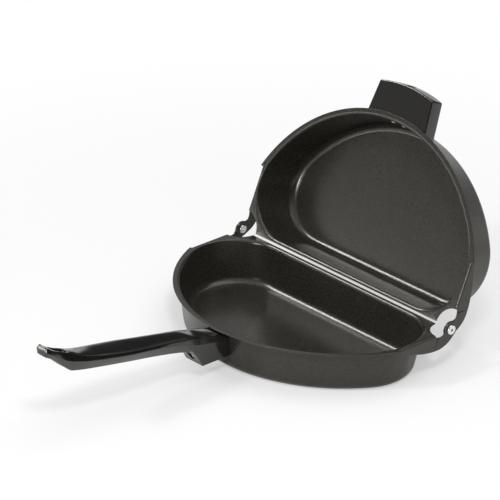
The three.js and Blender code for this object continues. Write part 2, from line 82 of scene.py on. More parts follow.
OPEN_ANGLE = math.radians(113.7)
ROUND_STEPS = 130
CORNER_STEPS = 30
EDGE_STEPS = 80
NOTCH_STEPS = 20
LOBE_STEPS = 44
FOLD_STEPS = 14
FOLD_TURNS = 8
PIN_STEPS = 40

at_hinge = Matrix.Translation(Vector(frame["joints"][0]["pos_m"]))
millimetres = Matrix.Scale(0.001, 4)
stance = {
    "lower": at_hinge @ millimetres,
    "lid": at_hinge @ Matrix.Rotation(-OPEN_ANGLE, 4, "X") @ Matrix.Rotation(math.pi, 4, "Y") @ millimetres,
}


def place(across, out, down):
    """A point of a half in millimetres: across the pan, out from the hinge line, down from the rim."""
    return Vector((across, -out, RIM_LEVEL - down))


def round_line(corners):
    """Rounds the inner corners of an open line of (x, y, radius, steps)."""
    line = []
    for i, (x, y, radius, steps) in enumerate(corners):
        at = Vector((x, y))
        if not radius:
            line.append(at)
            continue
        back = (Vector(corners[i - 1][:2]) - at).normalized()
        ahead = (Vector(corners[i + 1][:2]) - at).normalized()
        half = back.angle(ahead) / 2
        centre = at + (back + ahead).normalized() * radius / math.sin(half)
        start = at + back * radius / math.tan(half) - centre
        end = at + ahead * radius / math.tan(half) - centre
        sweep = math.atan2(start.x * end.y - start.y * end.x, start.dot(end))
        for s in range(steps + 1):
            line.append(centre + Matrix.Rotation(sweep * s / steps, 2) @ start)
    return line


def bezier(a, b, c, d, steps):
    """Points of a cubic curve, without its first."""
    line = []
    for s in range(1, steps + 1):
        t = s / steps
        line.append(a * (1 - t) ** 3 + b * 3 * t * (1 - t) ** 2 + c * 3 * t * t * (1 - t) + d * t ** 3)
    return line


def bowed(start, pull, end, steps):
    """Points of a curve drawn towards one point, without its first."""
    return bezier(start, start.lerp(pull, 2 / 3), end.lerp(pull, 2 / 3), end, steps)


def well_outline(inset, down):
    """The D of the well at a depth, drawn in by an inset: round arc, two corners, straight edge."""
    corner = WELL_CORNER + CORNER_GROWTH * down / PAN_DEPTH
    corner_out = WELL_EDGE + corner
    corner_across = math.sqrt((WELL_RADIUS - corner) ** 2 - (corner_out - RIM_CENTRE) ** 2)
    join = math.atan2(corner_out - RIM_CENTRE, corner_across)
    arcs = (
        (0, RIM_CENTRE, WELL_RADIUS - inset, join, math.pi - join, ROUND_STEPS),
        (-corner_across, corner_out, corner - inset, math.pi - join, math.pi * 1.5, CORNER_STEPS),
        (corner_across, corner_out, corner - inset, math.pi * 1.5, math.pi * 2 + join, CORNER_STEPS),
    )
    points = []
    for across, out, radius, start, end, steps in arcs:
        for s in range(steps + 1 if across < 0 else steps):
            angle = start + (end - start) * s / steps
            points.append((across + radius * math.cos(angle), out + radius * math.sin(angle)))
    return points


def flange_side(spread):
    """One side of the flange's edge: notch round the pin, line of the fold, then the round edge."""
    start = math.pi - math.asin(HINGE_EDGE / NOTCH_RADIUS)
    end = math.pi / 2 + math.asin(FOLD_INSET / NOTCH_RADIUS)
    side = []
    for s in range(NOTCH_STEPS + 1):
        angle = start + (end - start) * s / NOTCH_STEPS
        side.append((spread + NOTCH_RADIUS * math.cos(angle), NOTCH_RADIUS * math.sin(angle)))
    near = side[-1][1]
    for s in range(1, FOLD_STEPS + 1):
        side.append((spread - FOLD_INSET, near + (EAR_LENGTH - near) * s / FOLD_STEPS))
    start = math.asin((EAR_LENGTH - RIM_CENTRE) / RIM_RADIUS)
    for s in range(EDGE_STEPS):
        angle = start + (math.pi / 2 - start) * s / EDGE_STEPS
        side.append((RIM_RADIUS * math.cos(angle), RIM_CENTRE + RIM_RADIUS * math.sin(angle)))
    return side


def ear_outline():
    """An ear from the side, (out, height), from the hinge end of the fold round to its far end."""
    low = RIM_LEVEL - EAR_DEPTH
    shares = EAR_CURVE_SHARES
    start = Vector((math.sqrt(NOTCH_RADIUS ** 2 - FOLD_INSET ** 2), RIM_LEVEL - FOLD_INSET))
    lobe = [Vector((LOBE_RADIUS * math.cos(a), LOBE_RADIUS * math.sin(a)))
            for a in (LOBE_FROM + LOBE_SWEEP * s / LOBE_STEPS for s in range(LOBE_STEPS + 1))]
    deepest = Vector((EAR_DEEPEST, low))
    end = Vector((EAR_LENGTH, RIM_LEVEL - EAR_END))
    hollow = bowed(start, Vector((LOBE_RADIUS * DIP_SHARE, -DIP_DEPTH)), lobe[0], 16)
    back = bezier(
        lobe[-1], Vector((-LOBE_RADIUS * shares["rise_back"], -LOBE_RADIUS * shares["rise_depth"])),
        Vector((EAR_DEEPEST * shares["rise_along"], low)), deepest, 16)
    belly = bezier(
        deepest, Vector((EAR_DEEPEST * shares["bottom_along"], low)),
        Vector((EAR_LENGTH * shares["fall_along"], RIM_LEVEL - EAR_DEPTH * shares["fall_depth"])), end, 34)
    return hollow + lobe[1:] + back + belly


def loop_edges(mesh, verts):
    """The edges of a closed ring of vertices, new only where there is none yet."""
    return [mesh.edges.get(pair) or mesh.edges.new(pair) for pair in zip(verts, verts[1:] + verts[:1])]


def skin(mesh, rings, closed=True):
    """Quads between equal runs of vertices."""
    for inner, outer in zip(rings, rings[1:]):
        count = len(inner) if closed else len(inner) - 1
        for i in range(count):
            j = (i + 1) % len(inner)
            mesh.faces.new((inner[i], inner[j], outer[j], outer[i]))


def linked(name, data):
    """A new object in the scene."""
    made = bpy.data.objects.new(name, data)
    bpy.context.scene.collection.objects.link(made)
    return made


def mesh_data(name, mesh):
    """Turns a bmesh into mesh data."""
    data = bpy.data.meshes.new(name)
    mesh.to_mesh(data)
    mesh.free()
    return data


def applied(blank, *tools):
    """The mesh data of an object once its modifiers have run; the object and its tools go."""
    graph = bpy.context.evaluated_depsgraph_get()
    result = bpy.data.meshes.new_from_object(blank.evaluated_get(graph))
    for thing in (blank, *tools):
        bpy.data.objects.remove(thing)
    return result


def worked(mesh, *modifiers):
    """The mesh data that a bmesh gives once modifiers of (kind, settings) have run on it."""
    blank = linked("blank", mesh_data("blank", mesh))
    for kind, settings in modifiers:
        modifier = blank.modifiers.new(kind.lower(), kind)
        for key, value in settings.items():
            setattr(modifier, key, value)
    return applied(blank)


def settle(name, data, body, slot, material, *stands_for):
    """Puts a mesh in a half's millimetres in its place, on its body, in its finish."""
    data.transform(stance[body])
    data.materials.clear()
    data.materials.append(material)
    made = linked(name, data)
    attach(made, body)
    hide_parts(*stands_for)


def well_rings(half):
    """Rings from the floor up the wall and over the rim, whose bend is drawn in beside the ears."""
    floor = PAN_DEPTH - SHEET
    flat = WELL_EDGE + FLOOR_BEND + PAN_DEPTH * DRAFT
    profiles = [
        round_line([(flat, floor, 0, 0), (floor * DRAFT, floor, FLOOR_BEND, 16),
                    (0, 0, bend, 7), (-bend, 0, 0, 0)])
        for bend in (RIM_BEND, EAR_RIM_BEND)]
    rings = []
    for wide, tight in zip(*profiles):
        ring = []
        for a, b, (across, _) in zip(well_outline(*wide), well_outline(*tight), well_outline(0, 0)):
            share = min(1, max(0, (abs(across) - EAR_ZONE_FROM) / EAR_ZONE_WIDTH))
            share *= share * (3 - 2 * share)
            ring.append(half.verts.new(place(*Vector((*a, wide.y)).lerp(Vector((*b, tight.y)), share))))
        rings.append(ring)
    return rings


def fold_ear(half, edge, sign, spread):
    """Bends an ear down from its fold line and fills its side, with the hole for the pin."""
    fold = [edge[NOTCH_STEPS:NOTCH_STEPS + 1 + FOLD_STEPS]]
    for s in range(1, FOLD_TURNS + 1):
        turn = math.pi / 2 * s / FOLD_TURNS
        across = sign * (spread - FOLD_INSET + FOLD_INSET * math.sin(turn))
        down = FOLD_INSET * (1 - math.cos(turn))
        fold.append([half.verts.new(place(across, -v.co.y, down)) for v in fold[0]])
    skin(half, fold, closed=False)
    rim = [half.verts.new((sign * spread, -p.x, p.y)) for p in ear_outline()]
    pin = [half.verts.new((sign * spread, PIN_HOLE * math.cos(a), PIN_HOLE * math.sin(a)))
           for a in (math.tau * s / PIN_STEPS for s in range(PIN_STEPS))]
    edges = loop_edges(half, [fold[-1][0]] + rim + fold[-1][:0:-1]) + loop_edges(half, pin)
    bmesh.ops.triangle_fill(half, use_beauty=True, edges=edges, normal=(sign, 0, 0))


def pressed_half(spread):
    """One half: its cooking side as a single skin, thickened to the sheet, the cut edges broken."""
    half = bmesh.new()
    rings = well_rings(half)
    half.faces.new(rings[0])
    skin(half, rings)
    side = flange_side(spread)
    right = [half.verts.new(place(x, out, 0)) for x, out in side]
    left = [half.verts.new(place(-x, out, 0)) for x, out in side]
    front = half.verts.new(place(0, RIM_CENTRE + RIM_RADIUS, 0))
    edges = loop_edges(half, right + [front] + left[::-1]) + loop_edges(half, rings[-1])
    bmesh.ops.triangle_fill(half, use_beauty=True, edges=edges, normal=(0, 0, 1))
    fold_ear(half, right, 1, spread)
    fold_ear(half, left, -1, spread)
    bmesh.ops.recalc_face_normals(half, faces=half.faces)
    half.faces.ensure_lookup_table()
    if half.faces[0].normal.z < 0:
        bmesh.ops.reverse_faces(half, faces=half.faces)
    for face in half.faces:
        face.smooth = True
    return worked(
        half,
        ("SOLIDIFY", dict(thickness=SHEET, offset=-1, use_quality_normals=True)),
        ("BEVEL", dict(width=BROKEN_EDGE, segments=2, limit_method="ANGLE",
                       angle_limit=math.radians(50))),
        ("WEIGHTED_NORMAL", dict(keep_sharp=True, weight=50)))


class Wire:
    """A socket of a material's nodes, so that shader maths reads as Python."""

    def __init__(self, tree, socket=None):
        self.tree = tree
        self.socket = socket

    def node(self, kind, settings=None, out=0, **links):
        """Adds a node: settings first, then values or wires by socket name (_0, _1 by place)."""
        made = self.tree.nodes.new("ShaderNode" + kind)
        for name, value in (settings or {}).items():
            setattr(made, name, value)
        for name, value in links.items():
            target = made.inputs[int(name[1:]) if name[0] == "_" else name.replace("_", " ")]
            if isinstance(value, Wire):
                self.tree.links.new(value.socket, target)
            else:
                target.default_value = value
        return Wire(self.tree, made.outputs[out])

    def maths(self, operation, *values):
        """One step of maths on numbers or wires."""
        return self.node("Math", {"operation": operation}, **{f"_{i}": v for i, v in enumerate(values)})

    def __add__(self, other):
        return self.maths("ADD", self, other)

    __radd__ = __add__

    def __sub__(self, other):
        return self.maths("SUBTRACT", self, other)

    def __rsub__(self, other):
        return self.maths("SUBTRACT", other, self)

    def __mul__(self, other):
        return self.maths("MULTIPLY", self, other)

    __rmul__ = __mul__

    def between(self, low, high):
        """0 under low, 1 over high, smooth between."""
        return self.node("MapRange", {"interpolation_type": "SMOOTHSTEP"}, Value=self,
                         From_Min=low, From_Max=high, To_Min=0.0, To_Max=1.0)

    def blend(self, low, high):
        """A colour between two, this wire being the share of the second."""
        return self.node("Mix", {"data_type": "RGBA"}, out=2, _0=self, _6=low, _7=high)


def finish(name):
    """A new material; returns it with its object coordinates in metres as a wire."""
    material = bpy.data.materials.new(name)
    material.use_nodes = True
    material.node_tree.nodes.clear()
    start = Wire(material.node_tree)
    return material, start.node("TexCoord", out=3)


def close(material, surface):
    """Joins a finished shader to the material's output."""
    output = material.node_tree.nodes.new("ShaderNodeOutputMaterial")
    material.node_tree.links.new(surface.socket, output.inputs["Surface"])


def coating():
    """Non-stick coating: dark grey in fine grains, cloudy at large, with a few paler flecks."""
    material, spot = finish("speckled_coating")
    tint = spot.node("TexNoise", Vector=spot, Scale=1150.0, Detail=3.0, Roughness=0.6)
    grain = spot.node("TexNoise", Vector=spot, Scale=1500.0, Detail=3.0, Roughness=0.6)
    cloud = spot.node("TexNoise", Vector=spot, Scale=28.0, Detail=3.0, Roughness=0.5)
    fleck = spot.node("TexVoronoi", {"feature": "F1"}, Vector=spot, Scale=900.0, Randomness=1.0)
    flecks = 1 - fleck.between(0.10, 0.22)
    tone = cloud.between(0.3, 0.7) * 0.25 + tint.between(0.35, 0.65) * 0.75
    base = tone.blend((0.0125, 0.0115, 0.0092, 1), (0.034, 0.0317, 0.0266, 1))
    base = (flecks * 0.75).blend(base, (0.105, 0.1, 0.09, 1))
    height = grain * 0.7 + cloud * 0.3
    bump = spot.node("Bump", Strength=0.3, Distance=0.00012, Height=height)
    rough = 0.19 + 0.08 * grain - 0.03 * cloud
    surface = spot.node("BsdfPrincipled", Base_Color=base, Roughness=rough, Metallic=0.0,
                        Normal=bump, Specular_Tint=(1.0, 0.96, 0.88, 1.0))
    close(material, surface)
    return material


coated = coating()
for half_name, half_body in (("lower_pan", "lower"), ("upper_pan", "lid")):
    settle(half_name + "_skin", pressed_half(EAR_SPREAD[half_body]), half_body,
           "coated_steel", coated, half_name)


# The long handle. One black phenolic moulding, cured in a polished steel die: a lever that
# swells in the middle and turns up at its tip, a hanging hole there, and a mounting block
# under its root that seats against the pan wall and takes the fixing screw.
HANDLE_LENGTH = 164.2
HANDLE_RISE = 41
HANDLE_HALF = 12
HANDLE_THICKNESS = 10.2
LEVER_STEPS = 170
TIP_STEPS = [0.9900, 0.9925, 0.9948, 0.9968, 0.9984, 0.9995, 1.0]
TIP_ROUNDING = 1.6
TIP_FACE = 0.7
TIP_PULL = 2.4
TIP_PULL_FROM = 0.955
LEAN_FROM = 0.6
LEAN_OVER = 0.3
HOLE_HALF = 3.6
HOLE_LENGTH = 15
HOLE_FROM_TIP = 7.5
HOLE_LIP = 0.9
HOLE_FLARE = 0.4
HOLE_FLARE_RISE = 3.0
HOLE_STEPS = 16
LIP_STEPS = 6
BLOCK_HALF = 9.75
BLOCK_DEPTH = 20.5
BLOCK_REACH = 19.9
BLOCK_SLOPE = 16.8
BLOCK_SHOULDER = 2.1
BLOCK_EDGE = 0.9
BLOCK_END_SHARES = {"along": 0.32, "depth": 0.42}
BLOCK_TOP_SHARES = {"front": 0.08, "root": 0.14}
CORNER_ANGLE = math.radians(40)
SHARP_ANGLE = math.radians(33)
SPECK = 0.002
CLEARANCE = 0.3
OVERRUN = 2
RIM_FRONT = RIM_CENTRE + RIM_RADIUS
WALL_SKIN = SHEET / math.cos(math.atan(DRAFT))
WALL_FOOT = RIM_CENTRE + WELL_RADIUS - PAN_DEPTH * DRAFT
HANDLE_ROOT = WALL_FOOT - OVERRUN
HANDLE_TIP = RIM_FRONT + HANDLE_LENGTH

# distance along, height of the top, half width, thickness and drop to the side ridge, as shares
STATION_SHARES = (
    (0.000, -0.075, 0.80, 1.20, 0.40), (0.062, -0.037, 0.80, 1.24, 0.40),
    (0.102, 0.008, 0.80, 1.26, 0.42), (0.147, 0.057, 0.80, 1.28, 0.44),
    (0.187, 0.092, 0.80, 1.28, 0.46), (0.233, 0.147, 0.81, 1.27, 0.46),
    (0.290, 0.194, 0.82, 1.17, 0.38), (0.347, 0.237, 0.84, 1.10, 0.31),
    (0.461, 0.322, 0.92, 1.02, 0.27), (0.575, 0.412, 1.00, 1.00, 0.29),
    (0.689, 0.512, 0.93, 1.07, 0.33), (0.746, 0.566, 0.86, 1.13, 0.35),
    (0.803, 0.634, 0.77, 1.25, 0.38), (0.843, 0.698, 0.67, 1.38, 0.40),
    (0.863, 0.731, 0.63, 1.42, 0.42), (0.883, 0.765, 0.61, 1.31, 0.46),
    (0.917, 0.824, 0.60, 1.03, 0.50), (0.954, 0.905, 0.59, 0.775, 0.50),
    (0.977, 0.960, 0.57, 0.73, 0.50), (0.993, 0.993, 0.53, 0.71, 0.50),
    (1.000, 1.005, 0.50, 0.67, 0.50),
)

# points of a section as shares of its half width and thickness, and the roundings there; towards
# the tip the crown moves out by its gain and in by its lean
FLAT_POINT = (0.60, 0.008)
CROWN_POINT = (0.95, 0.04)
RIDGE_SHARE = 1.06
SOLE_POINT = (0.72, 0.985)
SOLE_FLAT = 0.3
CROWN_GAIN = 0.11
CROWN_LEAN = 0.55
CROWN_ROUNDING = 1.5
RIDGE_ROUNDING = 0.9


def along_stations(t):
    """The station at a share of the length, drawn smoothly through the table."""
    rows = STATION_SHARES
    i = max(k for k, row in enumerate(rows[:-1]) if row[0] <= t)
    a, b = rows[i], rows[i + 1]
    before, after = rows[max(i - 1, 0)], rows[min(i + 2, len(rows) - 1)]
    span = b[0] - a[0]
    s = (t - a[0]) / span
    values = []
    for k in range(1, 5):
        lead = (b[k] - before[k]) / (b[0] - before[0]) * span
        tail = (after[k] - a[k]) / (after[0] - a[0]) * span
        values.append(a[k] * (2 * s ** 3 - 3 * s * s + 1) + lead * (s ** 3 - 2 * s * s + s)
                      + b[k] * (3 * s * s - 2 * s ** 3) + tail * (s ** 3 - s * s))
    return values


def lever_section(half, thickness, ridge, tip):
    """Right half of a section, from the middle of the top to the middle of the underside; the
    upper side facet leans back more towards the tip."""
    soft = min(1, thickness / HANDLE_THICKNESS)
    lean = CROWN_GAIN * half - CROWN_LEAN * (ridge - CROWN_POINT[1]) * thickness
    return round_line([
        (0, 0, 0, 0),
        (FLAT_POINT[0] * half, FLAT_POINT[1] * thickness, 0, 0),
        (CROWN_POINT[0] * half + tip * lean, CROWN_POINT[1] * thickness, CROWN_ROUNDING * soft, 7),
        (RIDGE_SHARE * half, ridge * thickness, RIDGE_ROUNDING * soft, 5),
        (SOLE_POINT[0] * half, SOLE_POINT[1] * thickness, CROWN_ROUNDING * soft, 6),
        (SOLE_FLAT * half, thickness, 0, 0),
        (0, thickness, 0, 0)])


def solid(mesh, rings, *modifiers):
    """The mesh data of a body skinned over rings, its two ends filled."""
    skin(mesh, rings)
    for ring in (rings[0], rings[-1]):
        mesh.faces.new(ring)
    bmesh.ops.recalc_face_normals(mesh, faces=mesh.faces)
    return worked(mesh, *modifiers)


def lever():
    """The lever as a fine loft, its tip rounded off and its top pulled back there."""
    body = bmesh.new()
    rings = []
    for t in [s / LEVER_STEPS for s in range(LEVER_STEPS - 2)] + TIP_STEPS:
        top, half, thick, ridge = along_stations(t)
        tip = min(1, max(0, (t - LEAN_FROM) / LEAN_OVER))
        right = lever_section(half * HANDLE_HALF, thick * HANDLE_THICKNESS, ridge, tip)
        out = HANDLE_ROOT + (HANDLE_TIP - HANDLE_ROOT) * t
        left = min(1, (HANDLE_TIP - out) / TIP_ROUNDING)
        close_in = TIP_FACE + (1 - TIP_FACE) * math.sqrt(max(0, 1 - (1 - left) ** 2))
        middle = thick * HANDLE_THICKNESS / 2
        ring = [(p.x * close_in, middle + (p.y - middle) * close_in) for p in right]
        ring += [(-x, y) for x, y in ring[-2:0:-1]]
        pull = TIP_PULL * max(0, (t - TIP_PULL_FROM) / (1 - TIP_PULL_FROM)) ** 1.5
        rings.append([body.verts.new(place(x, out - pull * (1 - y / middle / 2), y - top * HANDLE_RISE))
                      for x, y in ring])
    return solid(body, rings)


def mounting_block():
    """The block from the side, its long edges rounded."""
    corner = RIM_FRONT + BLOCK_REACH
    start = Vector((corner, RIM_LEVEL - BLOCK_DEPTH))
    pull = Vector((corner + BLOCK_SLOPE * BLOCK_END_SHARES["along"],
                   RIM_LEVEL - BLOCK_DEPTH * BLOCK_END_SHARES["depth"]))
    end = Vector((corner + BLOCK_SLOPE, RIM_LEVEL + BLOCK_SHOULDER))
    side = [Vector((HANDLE_ROOT, RIM_LEVEL - BLOCK_DEPTH)), start, *bowed(start, pull, end, 20)]
    side += [Vector(((HANDLE_ROOT + corner) / 2, RIM_LEVEL - HANDLE_RISE * BLOCK_TOP_SHARES["front"])),
             Vector((HANDLE_ROOT, RIM_LEVEL - HANDLE_RISE * BLOCK_TOP_SHARES["root"]))]
    block = bmesh.new()
    sides = [[block.verts.new((x, -p.x, p.y)) for p in side] for x in (-BLOCK_HALF, BLOCK_HALF)]
    return solid(block, sides, ("BEVEL", dict(width=BLOCK_EDGE, segments=4, limit_method="ANGLE",
                                              angle_limit=CORNER_ANGLE)))


def cone(top, bottom, high, low, steps=256):
    """A solid round the pan's upright axis, between two heights."""
    mesh = bmesh.new()
    rings = []
    for radius, z in ((top, high), (bottom, low)):
        rings.append([mesh.verts.new((radius * math.cos(math.tau * s / steps),
                                      radius * math.sin(math.tau * s / steps) - RIM_CENTRE, z))
                      for s in range(steps)])
    return solid(mesh, rings)


def inside_wall(margin):
    """Everything inside the pan's outer wall, grown by a margin."""
    high, low = RIM_LEVEL + OVERRUN, RIM_LEVEL - PAN_DEPTH - OVERRUN
    reach = WELL_RADIUS + WALL_SKIN + margin
    return cone(reach + (high - RIM_LEVEL) * DRAFT, reach + (low - RIM_LEVEL) * DRAFT, high, low)


def over_flange():
    """Everything over the flange's underside, out to a little past its edge."""
    reach = RIM_RADIUS + CLEARANCE
    return cone(reach, reach, RIM_LEVEL + PAN_DEPTH, RIM_LEVEL - SHEET - CLEARANCE)


def hole_cutter():
    """The hanging hole, flared over a small radius where it meets both faces of the lever."""
    far = HANDLE_TIP - HOLE_FROM_TIP
    near = far - HOLE_LENGTH

    def outline(grow):
        """The slot with round ends, grown all round."""
        radius = HOLE_HALF + grow
        line = []
        for centre, start in ((far - HOLE_HALF, 0), (near + HOLE_HALF, math.pi)):
            for s in range(HOLE_STEPS + 1):
                angle = start + math.pi * s / HOLE_STEPS
                line.append((radius * math.cos(angle), centre + radius * math.sin(angle)))
        return line

    def heights(out):
        """Heights of the lever's top and underside."""
        top, _, thick, _ = along_stations((out - HANDLE_ROOT) / (HANDLE_TIP - HANDLE_ROOT))
        return top * HANDLE_RISE, top * HANDLE_RISE - thick * HANDLE_THICKNESS

    cutter = bmesh.new()
    rings = []
    for s in range(LIP_STEPS + 1):
        turn = math.pi / 2 * s / LIP_STEPS
        rings.append((HOLE_LIP * (1 - math.sin(turn)), 0, -HOLE_LIP * (1 - math.cos(turn))))
    rings.insert(0, (HOLE_LIP + HOLE_FLARE, 0, HOLE_FLARE_RISE))
    rings += [(grow, 1, -lift) for grow, _, lift in rings[::-1]]
    return solid(cutter, [
        [cutter.verts.new(place(x, out, -(heights(out)[face] + lift))) for x, out in outline(grow)]
        for grow, face, lift in rings])


def drum(radius, start, end, drop, steps=48):
    """A round cutter running out from the hinge line at a drop below the rim."""
    mesh = bmesh.new()
    rings = [[mesh.verts.new(place(radius * math.cos(math.tau * s / steps), out,
                                   drop + radius * math.sin(math.tau * s / steps)))
              for s in range(steps)] for out in (start, end)]
    return solid(mesh, rings)


def slab(half, start, end, top, bottom):
    """A square cutter between two distances from the hinge line and two drops."""
    mesh = bmesh.new()
    rings = [[mesh.verts.new(place(x, out, down)) for x, down in
              ((-half, top), (half, top), (half, bottom), (-half, bottom))] for out in (start, end)]
    return solid(mesh, rings)


def joined(data, steps):
    """Adds and cuts meshes in turn, clears specks, then shades smooth up to a corner angle."""
    blank = linked("blank", data)
    tools = []
    for operation, tool in steps:
        tools.append(linked("tool", tool))
        modifier = blank.modifiers.new("work", "BOOLEAN")
        modifier.operation = operation
        modifier.solver = "EXACT"
        modifier.object = tools[-1]
    mesh = bmesh.new()
    mesh.from_mesh(applied(blank, *tools))
    bmesh.ops.remove_doubles(mesh, verts=mesh.verts, dist=SPECK)
    bmesh.ops.dissolve_degenerate(mesh, edges=mesh.edges, dist=SPECK)
    for face in mesh.faces:
        face.smooth = True
    for edge in mesh.edges:
        edge.smooth = not edge.is_manifold or edge.calc_face_angle() < SHARP_ANGLE
    return mesh_data("joined", mesh)


def phenolic():
    """Glossy black moulding, its surface slightly wavy, with a little dust."""
    material, spot = finish("black_phenolic")
    flow = spot.node("TexNoise", Vector=spot, Scale=60.0, Detail=2.0, Roughness=0.5)
    dust = spot.node("TexNoise", Vector=spot, Scale=2600.0, Detail=2.0, Roughness=0.6)
    base = dust.between(0.35, 0.7).blend((0.005, 0.0049, 0.0047, 1), (0.009, 0.0088, 0.0084, 1))
    bump = spot.node("Bump", Strength=0.12, Distance=0.0002, Height=flow * 0.8 + dust * 0.2)
    rough = 0.07 + 0.06 * flow + 0.03 * dust
    surface = spot.node("BsdfPrincipled", Base_Color=base, Roughness=rough, Normal=bump,
                        IOR=1.7, Specular_Tint=(1.0, 0.975, 0.92, 1.0))
    close(material, surface)
    return material


SCREW_SHANK = 1.9
SCREW_HEAD = 3.2
TONGUE_HALF = 3.0
FOOT_HALF = 8.2
FOOT_THICKNESS = 1.5
RIVET_HEAD_HEIGHT = 0.8
TONGUE_LENGTH = 15
HANDLE_FOOT = 10.4
HANDLE_SCREW_RISE = 7.2
HANDLE_SCREW_DROP = BLOCK_DEPTH - HANDLE_SCREW_RISE
HANDLE_SEAT_DEPTH = 1.2
HANDLE_SCREW_OUT = RIM_FRONT + BLOCK_REACH - HANDLE_SEAT_DEPTH


def wall_out(drop):
    """How far the wall's outside stands out, in the middle, at a drop below the rim."""
    return RIM_CENTRE + WELL_RADIUS + WALL_SKIN - drop * DRAFT


def fixing_room(drop, foot, seat, depth):
    """Pocket for the bracket, screw hole and counterbore, as cuts."""
    wall = wall_out(drop)
    room = FOOT_THICKNESS + RIVET_HEAD_HEIGHT + 3 * CLEARANCE
    root = wall - WALL_SKIN - room
    reach = foot / 2 + CLEARANCE
    tongue = TONGUE_HALF + CLEARANCE
    return [
        ("DIFFERENCE", slab(FOOT_HALF + CLEARANCE, root, wall + room, drop - reach, drop + reach)),
        ("DIFFERENCE", slab(tongue, root, wall + TONGUE_LENGTH + CLEARANCE, drop - tongue, drop + tongue)),
        ("DIFFERENCE", drum(SCREW_SHANK + CLEARANCE, wall, seat + CLEARANCE, drop)),
        ("DIFFERENCE", drum(SCREW_HEAD + 2 * CLEARANCE, seat, seat + depth + OVERRUN, drop)),
    ]


black = phenolic()
moulding = joined(lever(), [
    ("UNION", mounting_block()),
    ("DIFFERENCE", hole_cutter()),
    ("DIFFERENCE", inside_wall(CLEARANCE)),
    ("DIFFERENCE", over_flange()),
    *fixing_room(HANDLE_SCREW_DROP, HANDLE_FOOT, HANDLE_SCREW_OUT, BLOCK_SLOPE)])
settle("main_handle_moulding", moulding, "lower", "phenolic", black, "main_handle")


# The lid grip. A short slab of the same black phenolic, wider at its root, crowned at its end
# and rounded along its edges. It seats against the lid's wall and a screw sunk in its end
# draws it onto a bracket there.
GRIP_GAP = 1
GRIP_DROP = SHEET + GRIP_GAP
GRIP_THICKNESS = 12
GRIP_LENGTH = 24
GRIP_CROWN = 3.7
GRIP_ROOT_HALF = 32.4
GRIP_END_HALF = 28.4
GRIP_EDGE = 1
GRIP_FOOT = 7.2
GRIP_SCREW_DROP = 6.4
GRIP_SEAT_DEPTH = 4.7
GRIP_SCREW_OUT = RIM_FRONT + GRIP_LENGTH - GRIP_SEAT_DEPTH


def grip_slab():
    """The grip's slab with rounded edges, run on inside the wall."""
    wall_at_side = RIM_CENTRE + math.sqrt(WELL_RADIUS ** 2 - GRIP_ROOT_HALF ** 2)
    root = wall_at_side - GRIP_THICKNESS * DRAFT - OVERRUN - GRIP_EDGE
    shoulder = RIM_FRONT + GRIP_LENGTH - GRIP_CROWN
    a, b = Vector((GRIP_END_HALF, shoulder)), Vector((-GRIP_END_HALF, shoulder))
    pull = Vector((0, shoulder + 2 * GRIP_CROWN))
    outline = [Vector((-GRIP_ROOT_HALF, root)), Vector((GRIP_ROOT_HALF, root)), a, *bowed(a, pull, b, 40)]
    mesh = bmesh.new()
    rings = [[mesh.verts.new(place(p.x, p.y, down)) for p in outline]
             for down in (GRIP_DROP, GRIP_DROP + GRIP_THICKNESS)]
    return solid(mesh, rings, ("BEVEL", dict(width=GRIP_EDGE, segments=6, limit_method="ANGLE",
                                             angle_limit=CORNER_ANGLE)))


tab = joined(grip_slab(), [
    ("DIFFERENCE", inside_wall(CLEARANCE)),
    *fixing_room(GRIP_SCREW_DROP, GRIP_FOOT, GRIP_SCREW_OUT, GRIP_SEAT_DEPTH)])
settle("lid_grip_moulding", tab, "lid", "phenolic", black, "lid_grip")


# Hinge rivets. Tubular steel rivets, plated bright, set through both ears at each end of the
# hinge line; the head lies on the lower half's ear and the other end is rolled over inside
# the lid's. The lid turns on them.
HINGE_SHANK = 2.4
HINGE_BORE = 1.0
HINGE_HEAD = 3.9
HINGE_HEAD_HEIGHT = 1
HINGE_CLINCH = 3.4
HINGE_CLINCH_HEIGHT = 0.9
ROLLED_EDGE = 0.7
LIP_WIDTH = 0.2
LIP_LEVEL = 0.8
TURNED_SHARP_ANGLE = math.radians(38)


